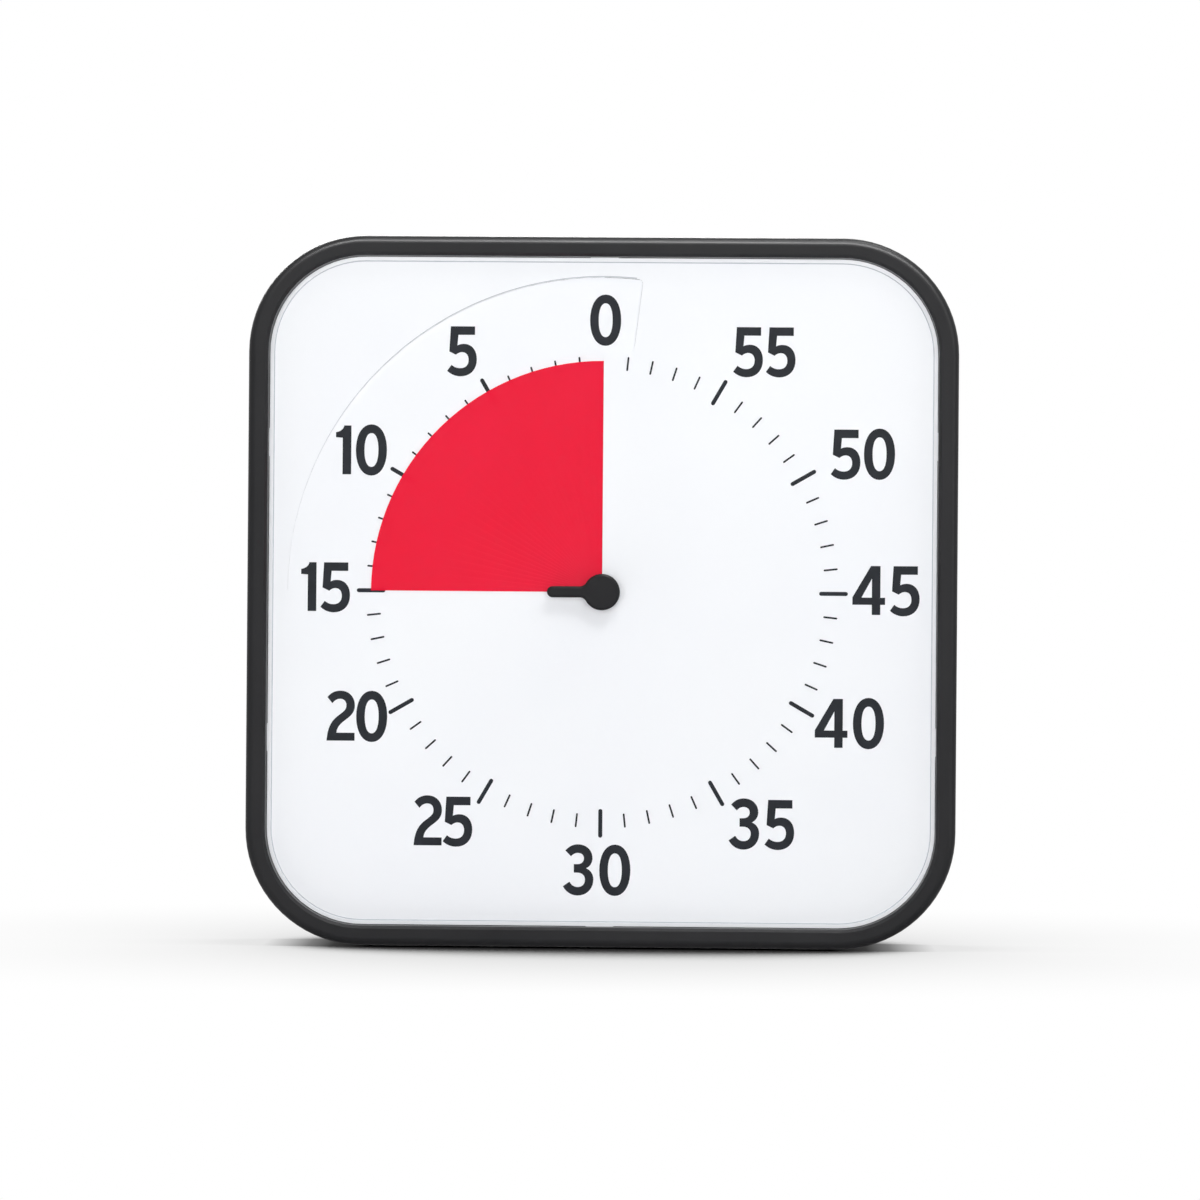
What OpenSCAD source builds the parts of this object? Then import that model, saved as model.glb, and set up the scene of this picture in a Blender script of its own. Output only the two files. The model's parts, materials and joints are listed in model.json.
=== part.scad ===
// Visual countdown timer: a red disc winds out of a slit in a helical dial.
// Each piece is drawn in the dial's own frame (x right, y up, z towards the viewer)
// and upright() then stands it on its base with +Z up.

/* [Housing] */
// Outside width of the housing
housing_w = 305; // [296:1:320]
// Outside height of the housing
housing_h = 305; // [296:1:320]
// Outside depth from the rim to the rear face
housing_d = 44.5; // [43:0.5:50]
// Outer corner radius of the housing
corner_r = 50; // [46:1:54]
// Width of the rim around the window
rim_w = 8.5; // [8.2:0.1:10.5]
// Thickness of the outside walls
wall = 2.4; // [2:0.1:3]
// Wall between the rim and the window
window_wall = 2; // [1.6:0.1:2.4]
// Edge radius at the front of the rim
front_edge_r = 3.4; // [1:0.2:4]
// Edge radius at the rear of the housing
rear_edge_r = 4; // [1:0.5:6]
// Bevel at the inner edge of the rim
window_bevel = 1.2; // [0.4:0.1:1.8]
// Depth of the front half of the housing
front_half_d = 28; // [27:0.5:30]
// Clearance between pieces that are fitted together
fit = 0.2; // [0.1:0.05:0.3]

/* [Dial] */
// Depth from the rim's front to the dial
dial_depth = 9.5; // [9:0.1:12]
// Thickness of the dial outside the disc
dial_t = 2; // [1.8:0.1:2.4]
// Thickness of the dial in front of the disc
dial_thin_t = 1; // [0.8:0.05:1]
// Width of the raised border of the dial
border_w = 1.7; // [1.4:0.1:3]
// Height of the raised border of the dial
border_h = 0.8; // [0.4:0.1:1.2]
// Distance from the recess that holds the 0 to the window's nearest edge
recess_margin = 8.3; // [6:0.1:12]
// Radius of the dial's lip over the slit
lip_r = 103.6; // [103:0.1:108]
// Angle by which the recess runs past the slit
recess_past = 7.1; // [5:0.1:10]
// Radius of the recess's corner past the slit
recess_corner = 2; // [1:0.1:4]
// Radius of the recess's corner at the lip
lip_corner = 3.5; // [2:0.1:5]
// Length of a snap tab
tab_len = 12; // [8:0.5:16]
// Height of a snap tab in its notch
tab_h = 0.45; // [0.3:0.05:0.6]
// Distance of the side tabs from the dial's centre line
tab_offset = 63.6; // [50:0.5:80]

/* [Red disc] */
// Radius of the red disc
disc_r = 99.65; // [90:0.05:101]
// Thickness of the red disc
disc_t = 0.3; // [0.2:0.05:0.35]
// Advance of the disc's screw surface in one turn
disc_pitch = 6.4; // [6.4:0.1:6.8]
// Clearance between the disc and the dial
disc_gap = 0.15; // [0.1:0.01:0.15]

/* [Knob and shaft] */
// Radius of the knob's cap
knob_r = 7.8; // [7:0.1:10]
// Height of the knob's cap
knob_h = 3.5; // [3:0.1:3.6]
// Length of the pointer from the centre to its tip
pointer_len = 23.5; // [18:0.5:40]
// Width of the pointer
pointer_w = 4.8; // [3:0.1:6]
// Bevel along the edge of the knob's face
knob_bevel = 0.9; // [0.5:0.1:1.2]
// Radius of the hollow curve from the cap into the pointer
pointer_fillet = 3; // [1.5:0.1:4]
// Radius of the disc's hub
hub_r = 5; // [4.6:0.1:5.6]
// Radius of the main shaft
shaft_r = 3; // [2.6:0.1:3.2]
// Running clearance of the shaft and the pivots
run = 0.05; // [0.02:0.01:0.08]

/* [Clockwork] */
// Height of the gear chamber, inside
chamber_h = 52.8; // [52:0.2:56]
// Wall of the clockwork's case
case_wall = 1.6; // [1.4:0.1:1.8]
// Inside depth of the gear chamber
chamber_d = 11.9; // [11.9:0.1:12.2]
// Module of the centre wheel and its pinion
module_a = 0.4; // [0.39:0.01:0.41]
// Module of the third wheel and its pinion
module_b = 0.32; // [0.31:0.01:0.33]
// Module of the second and intermediate wheels
module_c = 0.3; // [0.29:0.01:0.31]
// Radius of the arbors' pivots
pivot_r = 0.5; // [0.4:0.05:0.6]
// Radius of the battery
battery_r = 7.1; // [6.9:0.05:7.2]
// Length of the battery with its nub
battery_len = 50.2; // [49.5:0.1:50.5]
// Room for the battery's contacts at its two ends together
contact_room = 5.4; // [5:0.1:7]

/* [Rear] */
// Height of the battery door
door_h = 21; // [19:0.5:22]
// Width of the battery door
door_w = 60; // [58.5:0.5:64]
// Radius of the keyholes' round mouths
keyhole_r = 4.5; // [4:0.1:5.5]
// Half width of the keyholes' slots
keyslot_r = 2.2; // [1.8:0.1:2.6]
// Distance between the two keyholes
keyhole_span = 150; // [120:1:170]
// Height of the keyholes over the dial's centre
keyhole_y = 80; // [60:1:90]
// Travel of the alert switch
switch_travel = 4; // [3:0.5:5]
// Radius of the sounder disc
sounder_r = 14; // [12:0.5:15]

/* [Base] */
// Length of a foot from its pin to its tip
foot_len = 66; // [50:1:72]
// Width of a foot
foot_w = 11; // [9:0.5:11]
// Height of a foot
foot_h = 5; // [4:0.1:5.2]
// Distance from the middle to a foot's pin
foot_x = 88; // [86:0.5:94]
// Distance that feet and pads stand below the housing
stand_off = 0.5; // [0.3:0.1:1]
// Length of a rubber pad
pad_len = 20; // [12:1:26]
// Radius of the foot pins
foot_pin_r = 2; // [1.6:0.1:2.4]
// Radius of the housing screws' shanks
screw_r = 1.45; // [1.3:0.05:1.5]

/* [Hidden] */
$fn = 64;
eps = 0.01;
centre_z = housing_h / 2 + stand_off;

// Planes of the housing
front_z = housing_d / 2;
rear_z = -housing_d / 2;
part_z = front_z - front_half_d;
cover_in_z = rear_z + wall - 0.2;
window_w = housing_w - 2 * rim_w;
window_h = housing_h - 2 * rim_w;
window_r = corner_r - rim_w;
dial_z = front_z - dial_depth;
ledge_t = 2;
skirt_h = 2.25;
ledge_z = dial_z - dial_t - skirt_h;
ledge_w = 11.5;
recess_r = min(window_w, window_h) / 2 - recess_margin;
ledge_r = recess_r + 2;

// Screw surface of the disc: its front face is at z = disc_z - pitch * angle / 360,
// with angles counted clockwise from 12 o'clock
set_angle = 270;
disc_in_r = hub_r + 0.1;
disc_z = dial_z + disc_pitch * 0.75 + disc_t + disc_gap;
disc_low_z = disc_z - 2 * disc_pitch - disc_t;
ramp_drop = disc_pitch / 4;
disc_zone_r = disc_r + 2.35;
hub_hole_r = hub_r + 0.4;
// The ramp is bonded in the dial's opening; its floor past the slit is a little lower than its end
ramp_fit = 0.05;
floor_z = dial_z - ramp_drop - 0.6 * ramp_fit;

// Knob and shaft
knob_z = disc_z + 0.35;
knob_top_z = knob_z + knob_h;
shaft_top_z = knob_top_z - 1.4;
flat_depth = 0.6;
hub_low_z = disc_low_z - 0.35;

// Clockwork planes, from the front wall's outside to the rear plate
case_z = disc_low_z - 2.9;
chamber_z = case_z - case_wall;
plate_z = chamber_z - chamber_d;
plate_t = 1.6;
bush_r = shaft_r + 1.5;
bush_flange_z = chamber_z - 0.8;
centre_wheel_z = chamber_z - 2.8;
centre_wheel_t = 1;
spring_z = centre_wheel_z - 0.6;
third_wheel_z = chamber_z - 5.6;
second_wheel_z = chamber_z - 7.4;
intermediate_wheel_z = chamber_z - 9.2;
wheel_t = 0.8;
pivot_in = 0.5;

// Teeth and centres of the gear train
leaves = 8;
centre_teeth = 64;
third_teeth = 60;
second_teeth = 48;
intermediate_teeth = 40;
function pitch_r(m, n) = m * n / 2;
function step_from(p, d, a) = [p[0] + d * cos(a), p[1] + d * sin(a)];
third_at = step_from([0, 0], pitch_r(module_a, centre_teeth + leaves), 215);
second_at = step_from(third_at, pitch_r(module_b, third_teeth + leaves), -50);
intermediate_at = step_from(second_at, pitch_r(module_c, second_teeth + leaves), 5);
rotor_at = step_from(intermediate_at, pitch_r(module_c, intermediate_teeth + leaves), 20);
arbor_at = [third_at, second_at, intermediate_at, rotor_at];
magnet_r = 2.8;
magnet_t = 1.8;

// Motor
stator_t = 1;
stator_z = plate_z + 0.9;
stator_hole_r = magnet_r + 0.5;
stator_left = rotor_at[0] - 5;
stator_right = stator_left + 18.6;
stator_low = rotor_at[1] - 5;
leg_w = 3;
core_y = 7;
coil_r = 2.2;

// Case of the clockwork
case_w = battery_len + contact_room;

// Circuit board
board_w = case_w - 1.2;
board_h = 12;
board_y = 12;
board_t = 1;
board_z = plate_z + 1;

// Battery bay
bay_h = 2 * battery_r + 1.2;
bay_y = -chamber_h / 2 - case_wall - bay_h / 2;
battery_z = cover_in_z + 1.6 + battery_r;
bay_floor_z = battery_z + battery_r + 0.3;
contact_t = 0.4;
contact_w = 3;
contact_pad = 8;
contact_gap = 0.45;
battery_x = case_w / 2 - contact_gap - battery_len;
contact_end_y = board_y + 1.3;
spring_r = 4.5;
spring_tip_r = 2.3;

// Ears of the clockwork
ear_x = case_w / 2 + case_wall + 3.6;
ear_y = 20;
ear_r = 4;
ear_t = 2;
ear_hole_r = screw_r + 0.2;
pilot_r = screw_r + run;

// Sounder
sounder_at = [-64, 10];
sounder_t = 0.4;
sounder_z = cover_in_z + 3;
sounder_top_z = sounder_z + sounder_t + 0.3;

// Leads of the sounder, past the ear and through a notch of the case
lead_r = 0.5;
lead_apart = 0.65;
lead_notch = 2.5;
lead_y = ear_y - ear_r - lead_notch / 2 - fit / 2;
lead_points = [
    [sounder_at[0] + 6, sounder_at[1] + 2, sounder_top_z + lead_r],
    [sounder_at[0] + sounder_r + 2, lead_y, sounder_top_z + lead_r],
    [-case_w / 2 - case_wall - 4, lead_y, plate_z + 1.6],
    [-case_w / 2 + 0.9, lead_y, board_z + board_t + lead_r + fit / 2]];

// Housing screws: corners, then the middle of each side
post_r = 4;
post_corner_in = 37.5;
post_side_in = 15.2;
post_corner = [housing_w / 2 - post_corner_in, housing_h / 2 - post_corner_in];
post_side = [housing_w / 2 - post_side_in, housing_h / 2 - post_side_in];
post_at = [
    [post_corner[0], post_corner[1]], [-post_corner[0], post_corner[1]],
    [-post_corner[0], -post_corner[1]], [post_corner[0], -post_corner[1]],
    [post_side[0], 0], [-post_side[0], 0], [0, post_side[1]], [0, -post_side[1]]];
post_end_z = part_z - 2;
head_r = 2.7;
head_h = 1.8;
screw_in = 8;
ear_screw_len = 6;
well_z = rear_z + 8;

// Battery door
door_gap = 0.3;
door_t = 2;
knuckle_r = 1.6;
door_top = bay_y + door_h / 2;
hinge_y = bay_y - door_h / 2 + knuckle_r;
hinge_z = rear_z + knuckle_r + 0.05;
bay_mouth_z = hinge_z + knuckle_r + 0.5;
door_pin_r = 0.8;
door_pin_len = 1.6;

// Alert switch, sounder and keyholes
switch_at = [62, 20];
switch_stem = 3.6;
switch_d = 5;
grille_r = 1.1;
grille_pitch = 3.6;

// Feet and pads
foot_z = rear_z + 3.2 + foot_w / 2;
foot_top = -housing_h / 2 - stand_off + foot_h;
pocket_gap = 0.3;
pocket_y = foot_top + pocket_gap;
pocket_wall = 1.6;
pin_len = 9;
pin_head_r = 3.4;
pad_w = 8;
pad_t = 1.5;
pad_z = 10;

// ---------- helpers ----------

module upright() {
    translate([0, 0, centre_z]) rotate([90, 0, 0]) children();
}

// Rounded rectangle with true arcs
module rounded(w, h, r) {
    square([w - 2 * r, h], center = true);
    square([w, h - 2 * r], center = true);
    for (sx = [-1, 1], sy = [-1, 1]) translate([sx * (w / 2 - r), sy * (h / 2 - r)]) circle(r);
}

module slab(w, h, r, z0, z1) {
    translate([0, 0, z0]) linear_extrude(z1 - z0) rounded(w, h, r);
}

module disc(r, z0, z1) {
    translate([0, 0, z0]) cylinder(r = r, h = z1 - z0);
}

// Carries a profile round a rounded rectangle; x of the profile counts from the corner centre
module around(w, h, r) {
    for (k = [0:3]) {
        a = k % 2 == 0 ? w / 2 - r : h / 2 - r;
        b = k % 2 == 0 ? h / 2 - r : w / 2 - r;
        rotate([0, 0, 90 * k]) {
            translate([a, b, 0]) rotate_extrude(angle = 90) children();
            translate([a, 0, 0]) rotate([90, 0, 0]) translate([0, 0, -b]) linear_extrude(2 * b) children();
        }
    }
}

// What is cut away to round an edge of radius e at the profile point (r, z)
module edge_cut(r, z, e, up) {
    difference() {
        translate([r - e, up > 0 ? z - e : z - 1]) square([e + 1, e + 1]);
        translate([r - e, z - up * e]) circle(e);
    }
}

// Sector between two clockwise angles from 12 o'clock, out to radius r
module sector(a0, a1, r) {
    steps = max(1, ceil((a1 - a0) / 30));
    far = r / cos((a1 - a0) / steps / 2);
    intersection() {
        circle(r, $fn = 180);
        polygon(concat([[0, 0]], [for (i = [0:steps]) let (a = a0 + (a1 - a0) * i / steps)
            [far * 1.05 * sin(a), far * 1.05 * cos(a)]]));
    }
}

// Sweeps a section of [radius, z] points along a screw between clockwise angles a0 and a1,
// falling by drop on the way
module screw_sweep(a0, a1, step, section, drop) {
    n = ceil((a1 - a0) / step);
    m = len(section);
    points = [for (i = [0:n]) let (a = a0 + (a1 - a0) * i / n)
        each [for (p = section) [p[0] * sin(a), p[0] * cos(a), p[1] - drop * i / n]]];
    // both faces of the sheet are split along the same diagonal, which keeps its thickness even
    sides = [for (i = [0:n - 1], j = [0:m - 1]) let (k = (j + 1) % m, p = m * i, q = m * (i + 1))
        each section[k][0] < section[j][0] ? [[p + j, p + k, q + j], [q + j, p + k, q + k]]
            : [[p + j, q + k, q + j], [p + j, p + k, q + k]]];
    start = [[for (j = [m - 1:-1:0]) j]];
    end = [[for (j = [0:m - 1]) m * n + j]];
    polyhedron(points = points, faces = concat(sides, start, end));
}

// Gear outline with straight-sided teeth and working backlash
module gear(m, n, z0, z1, bore) {
    r = pitch_r(m, n);
    tip = r + 0.85 * m;
    root = r - 1.25 * m;
    pitch_a = 360 / n;
    outline = [for (i = [0:n - 1]) each [
        for (p = [[-0.30, root], [-0.12, tip], [0.12, tip], [0.30, root]])
            [p[1] * cos((i + p[0]) * pitch_a), p[1] * sin((i + p[0]) * pitch_a)]]];
    translate([0, 0, z0]) linear_extrude(z1 - z0) difference() {
        polygon(outline);
        if (bore > 0) circle(bore);
    }
}

module arbor(z0, z1) {
    disc(pivot_r, z0, z1);
}

module at(p, z = 0) {
    translate([p[0], p[1], z]) children();
}

// ---------- housing ----------

module front_frame() {
    color("#2f2f31") upright() difference() {
        union() {
            difference() {
                slab(housing_w, housing_h, corner_r, part_z, front_z);
                slab(housing_w - 2 * wall, housing_h - 2 * wall, corner_r - wall, part_z - 1, front_z - wall);
            }
            slab(window_w + 2 * window_wall, window_h + 2 * window_wall, window_r + window_wall,
                ledge_z, front_z - wall + eps);
            ledge();
            for (p = post_at) at(p) disc(post_r, post_end_z, ledge_z - ledge_t + eps);
        }
        slab(window_w, window_h, window_r, ledge_z, front_z + 1);
        around(housing_w, housing_h, corner_r) edge_cut(corner_r, front_z, front_edge_r, 1);
        around(window_w, window_h, window_r) bevel();
        tabs(tab_h + 0.1, tab_len + 2 * fit, dial_z - dial_t - fit, dial_z + border_h + fit);
        for (p = post_at) at(p) disc(pilot_r, post_end_z - 1, ledge_z - ledge_t - 2);
        pad_places(pad_len + 2 * fit, pad_w + 2 * fit, pad_t - stand_off);
    }
}

module bevel() {
    polygon([[window_r - 1, front_z + 1], [window_r + window_bevel + 1, front_z + 1],
        [window_r + window_bevel, front_z], [window_r, front_z - window_bevel * 1.4],
        [window_r - 1, front_z - window_bevel * 1.4]]);
}

module ledge() {
    difference() {
        slab(housing_w - 2 * wall + eps, housing_h - 2 * wall + eps, corner_r - wall,
            ledge_z - ledge_t, ledge_z);
        intersection() {
            slab(window_w - 2 * ledge_w, window_h - 2 * ledge_w, window_r - 8,
                ledge_z - ledge_t - 1, ledge_z + 1);
            disc(ledge_r + 4, ledge_z - ledge_t - 1, ledge_z + 1);
        }
    }
}

// Tab places round the window: one at the top and the bottom, and two on each side
module tabs(h, len, z0, z1) {
    for (s = [-1, 1], y = [-tab_offset, tab_offset])
        translate([s * (window_w / 2 + h / 2 - 0.5), y, (z0 + z1) / 2])
            cube([h + 1, len, z1 - z0], center = true);
    for (s = [-1, 1])
        translate([0, s * (window_h / 2 + h / 2 - 0.5), (z0 + z1) / 2])
            cube([len, h + 1, z1 - z0], center = true);
}

module pad_places(len, w, t) {
    for (s = [-1, 1])
        translate([s * foot_x - len / 2, -housing_h / 2 - 1, pad_z - w / 2]) cube([len, t + 1, w]);
}

module dial_plate() {
    color("#f4f8fb") upright() difference() {
        union() {
            slab(window_w - 2 * fit, window_h - 2 * fit, window_r - fit, dial_z - dial_t, dial_z);
            dial_border();
        }
        dial_cut();
        disc(disc_zone_r, dial_z - dial_t - 1, dial_z - dial_thin_t);
        disc(hub_hole_r, dial_z - dial_t - 1, dial_z + 1);
    }
}

// Quarter ramp under the disc: thin inside the disc's zone, full thickness outside it
module recess_ramp() {
    color("#f4f8fb") upright() {
        screw_sweep(set_angle, 360, 3, ramp_section(dial_z), ramp_drop);
        translate([0, 0, floor_z - dial_t]) linear_extrude(dial_t) past_slit(ramp_fit);
    }
}

function ramp_section(z) = [[hub_hole_r + ramp_fit, z], [recess_r - ramp_fit, z],
    [recess_r - ramp_fit, z - dial_t], [disc_zone_r, z - dial_t],
    [disc_zone_r, z - dial_thin_t], [hub_hole_r + ramp_fit, z - dial_thin_t]];

// Raised border, skirt down to the ledge, and snap tabs
module dial_border() {
    difference() {
        union() {
            slab(window_w - 2 * fit, window_h - 2 * fit, window_r - fit, ledge_z, dial_z + border_h);
            tabs(tab_h, tab_len, dial_z - dial_t, dial_z + border_h);
        }
        slab(window_w - 2 * border_w, window_h - 2 * border_w, window_r - border_w,
            ledge_z - 1, dial_z + border_h + 1);
    }
}

// Opening in the flat dial: the ramp's quarter, and the part past the slit outside the lip
module dial_cut() {
    translate([0, 0, dial_z - dial_t - 1]) linear_extrude(dial_t + 2) {
        sector(set_angle, 360, recess_r);
        past_slit(0);
    }
}

// The recess past the slit, outside the lip, with its two corners rounded; gap makes it smaller
module past_slit(gap) {
    difference() {
        sector(-1, recess_past - gap, recess_r - 3 * gap);
        circle(lip_r + gap, $fn = 180);
        corner_fill(recess_r, recess_r - recess_corner, recess_corner, gap);
        corner_fill(lip_r, lip_r + lip_corner, lip_corner, gap);
    }
}

// Fills the corner of the recess at radius r beyond a circle of radius c round its centre
module corner_fill(r, centre_r, c, gap) {
    a = recess_past - asin(c / centre_r);
    edge_r = sqrt(centre_r * centre_r - c * c);
    far_r = r + 2 * (r - edge_r);
    function spot(d, angle) = [d * sin(angle), d * cos(angle)];
    difference() {
        polygon([spot(centre_r, a), spot(edge_r, recess_past + 1), spot(far_r, recess_past + 1), spot(far_r, a)]);
        translate(spot(centre_r, a)) circle(c - gap + eps);
    }
}

function disc_section(z) = [[disc_in_r, z], [disc_r, z], [disc_r, z - disc_t], [disc_in_r, z - disc_t]];

module red_disc() {
    color("#f0304e") upright()
        screw_sweep(set_angle, set_angle + 360, 3, disc_section(disc_z - disc_pitch * set_angle / 360),
            disc_pitch);
}

module setting_knob() {
    color("#232325") upright() difference() {
        union() {
            bevelled_disc(knob_r);
            translate([pointer_w / 2 - pointer_len, 0, 0]) bevelled_disc(pointer_w / 2);
            pointer_bar();
            for (s = [-1, 1]) pointer_root(s);
        }
        shaft_shape(run / 2, knob_z - 1, shaft_top_z + run);
    }
}

module bevelled_disc(r) {
    disc(r, knob_z, knob_top_z - knob_bevel);
    translate([0, 0, knob_top_z - knob_bevel]) cylinder(r1 = r, r2 = r - knob_bevel, h = knob_bevel);
}

module pointer_bar() {
    w = pointer_w / 2;
    low_z = knob_top_z - knob_bevel;
    translate([w - pointer_len, 0, 0]) rotate([90, 0, 90]) linear_extrude(pointer_len - w)
        polygon([[-w, knob_z], [w, knob_z], [w, low_z], [w - knob_bevel, knob_top_z],
            [knob_bevel - w, knob_top_z], [-w, low_z]]);
}

// Fills the corner between cap and pointer up to a hollow curve that touches both
module pointer_root(s) {
    r = pointer_fillet;
    y = s * (pointer_w / 2 + r);
    x = -sqrt(pow(knob_r + r, 2) - y * y);
    touch = knob_r / (knob_r + r);
    difference() {
        translate([0, 0, knob_z]) linear_extrude(knob_h)
            polygon([[0, 0], [x * touch, y * touch], [x, y], [x, 0]]);
        translate([x, y, 0]) disc(r, knob_z - 1, knob_top_z + 1);
        translate([x, y, knob_top_z - knob_bevel])
            cylinder(r1 = r, r2 = r + 2 * knob_bevel, h = 2 * knob_bevel);
    }
}

// Round shaft with a flat at its front end
module shaft_shape(grow, z0, z1) {
    difference() {
        disc(shaft_r + grow, z0, z1);
        translate([-shaft_r - 1, shaft_r - flat_depth + grow, knob_z]) cube([2 * shaft_r + 2, 2, z1]);
    }
}

module disc_hub() {
    color("#d8d8da") upright() difference() {
        disc(hub_r, hub_low_z, knob_z);
        disc(shaft_r + run / 2, hub_low_z - 1, knob_z + 1);
    }
}

// ---------- clockwork ----------

module main_shaft() {
    color("#c9a35a") upright() {
        shaft_shape(0, spring_z - eps, shaft_top_z);
        disc(shaft_r + 2, spring_z - 0.7, spring_z);
        disc(1, plate_z - pivot_in * 2, spring_z);
    }
}

module shaft_bush() {
    color("#b8903f") upright() difference() {
        union() {
            disc(bush_r, bush_flange_z, hub_low_z - 0.2);
            disc(bush_r + 1.5, bush_flange_z, chamber_z);
        }
        disc(shaft_r + run, bush_flange_z - 1, hub_low_z + 1);
    }
}

module clutch_spring() {
    color("#c8c8cc") upright() rotate_extrude()
        polygon([[shaft_r + 0.3, spring_z], [shaft_r + 0.9, spring_z],
            [shaft_r + 1.9, spring_z + 0.35], [shaft_r + 1.9, spring_z + 0.55],
            [shaft_r + 1.3, spring_z + 0.55]]);
}

module centre_wheel() {
    color("#e8e4d8") upright() difference() {
        union() {
            gear(module_a, centre_teeth, centre_wheel_z, centre_wheel_z + centre_wheel_t, 0);
            disc(shaft_r + 1.6, centre_wheel_z, bush_flange_z - 0.2);
        }
        disc(shaft_r + run, centre_wheel_z - 1, bush_flange_z);
    }
}

// Wheel and pinion on one arbor, with pivots in the front wall and the rear plate
module wheel_set(p, m_wheel, teeth, wheel_z, m_leaf, leaf_z, turn_wheel, turn_leaf) {
    upright() at(p) {
        rotate([0, 0, turn_wheel]) gear(m_wheel, teeth, wheel_z, wheel_z + wheel_t, 0);
        rotate([0, 0, turn_leaf]) gear(m_leaf, leaves, wheel_z, leaf_z, 0);
        arbor(plate_z - pivot_in, chamber_z + pivot_in);
    }
}

// Turn that puts a gap of the gear at b opposite a tooth of the gear at a
function bearing(a, b) = atan2(b[1] - a[1], b[0] - a[0]);
function mesh_turn(a, b, n_a, turn_a, n_b) =
    bearing(b, a) + 180 / n_b + (bearing(a, b) - turn_a) * n_a / n_b;

third_leaf_turn = mesh_turn([0, 0], third_at, centre_teeth, 0, leaves);
second_leaf_turn = mesh_turn(third_at, second_at, third_teeth, 0, leaves);
intermediate_leaf_turn = mesh_turn(second_at, intermediate_at, second_teeth, 0, leaves);
rotor_leaf_turn = mesh_turn(intermediate_at, rotor_at, intermediate_teeth, 0, leaves);

module third_wheel() {
    color("#e8e4d8") wheel_set(third_at, module_b, third_teeth, third_wheel_z,
        module_a, bush_flange_z, 0, third_leaf_turn);
}

module second_wheel() {
    color("#e8e4d8") wheel_set(second_at, module_c, second_teeth, second_wheel_z,
        module_b, third_wheel_z + wheel_t + 0.3, 0, second_leaf_turn);
}

module intermediate_wheel() {
    color("#e8e4d8") wheel_set(intermediate_at, module_c, intermediate_teeth, intermediate_wheel_z,
        module_c, second_wheel_z + wheel_t + 0.3, 0, intermediate_leaf_turn);
}

module rotor() {
    color("#6d6f74") upright() at(rotor_at) {
        rotate([0, 0, rotor_leaf_turn])
            gear(module_c, leaves, stator_z + stator_t + 0.2, intermediate_wheel_z + wheel_t + 0.3, 0);
        disc(magnet_r, stator_z - 0.4, stator_z - 0.4 + magnet_t);
        arbor(plate_z - pivot_in, chamber_z + pivot_in);
    }
}

module stator() {
    color("#9a9ca0") upright() difference() {
        union() {
            translate([stator_left, stator_low, stator_z])
                cube([stator_right - stator_left, 10, stator_t]);
            for (x = [stator_left, stator_right - leg_w])
                translate([x, stator_low, stator_z]) cube([leg_w, core_y + leg_w - stator_low, stator_t]);
            translate([stator_left, core_y, stator_z + stator_t])
                cube([stator_right - stator_left, leg_w, stator_t]);
        }
        at(rotor_at) disc(stator_hole_r, stator_z - 1, stator_z + stator_t + 1);
    }
}

module coil() {
    color("#b5652b") upright()
        translate([stator_left + leg_w + 0.3, core_y + leg_w / 2, stator_z + 1.5 * stator_t])
        rotate([0, 90, 0]) difference() {
            cylinder(r = coil_r, h = stator_right - stator_left - 2 * leg_w - 0.6);
            cube([stator_t + 0.1, leg_w + 0.1, 3 * (stator_right - stator_left)], center = true);
        }
}

module circuit_board() {
    color("#2f6b3a") upright() translate([-board_w / 2, board_y, board_z]) cube([board_w, board_h, board_t]);
}

module quartz_crystal() {
    color("#c4c6c9") upright() translate([-12, board_y + 9, board_z + board_t + 1]) rotate([0, 90, 0])
        cylinder(r = 1, h = 6);
}

module timer_chip() {
    color("#1c1c1e") upright() translate([-20, board_y + 3, board_z + board_t]) cube([5, 5, 1]);
}

module movement_case() {
    outer_w = case_w + 2 * case_wall;
    outer_h = chamber_h + 2 * case_wall;
    color("#f2f2ee") upright() difference() {
        union() {
            translate([-outer_w / 2, -outer_h / 2, plate_z]) cube([outer_w, outer_h, case_z - plate_z]);
            translate([-outer_w / 2, bay_y - bay_h / 2 - case_wall, bay_mouth_z])
                cube([outer_w, bay_h + 2 * case_wall, bay_floor_z + case_wall - bay_mouth_z]);
            for (s = [-1, 1], y = [-ear_y, ear_y]) ear(s, y, outer_w / 2);
        }
        translate([-case_w / 2, -chamber_h / 2, plate_z - 20])
            cube([case_w, chamber_h, chamber_z - plate_z + 20]);
        translate([-case_w / 2, bay_y - bay_h / 2, cover_in_z - 1])
            cube([case_w, bay_h, bay_floor_z - cover_in_z + 1]);
        disc(bush_r + run / 2, chamber_z - 1, case_z + 1);
        for (p = arbor_at) at(p) disc(pivot_r + run, chamber_z - 1, chamber_z + pivot_in + 0.1);
        for (s = [-1, 1], y = [-ear_y, ear_y])
            translate([s * ear_x, y, 0]) disc(ear_hole_r, plate_z - 1, plate_z + ear_t + 1);
        for (s = [-1, 1]) contact_slot(s);
        translate([-outer_w / 2 - 1, lead_y - lead_notch / 2, plate_z - 1])
            cube([case_wall + 2, lead_notch, 4]);
    }
}

module ear(s, y, edge) {
    translate([s * ear_x, y, 0]) disc(ear_r, plate_z, plate_z + ear_t);
    translate([s > 0 ? edge - 0.5 : -ear_x, y - ear_r, plate_z]) cube([ear_x - edge + 0.5, 2 * ear_r, ear_t]);
}

// Way for a contact strip from the battery bay into the gear chamber
module contact_slot(s) {
    x = s * (case_w / 2 - contact_t / 2 - run);
    translate([x - 0.5, -chamber_h / 2 - case_wall - 1, plate_z - 1])
        cube([1, case_wall + 2, contact_w + 1.8]);
}

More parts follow.
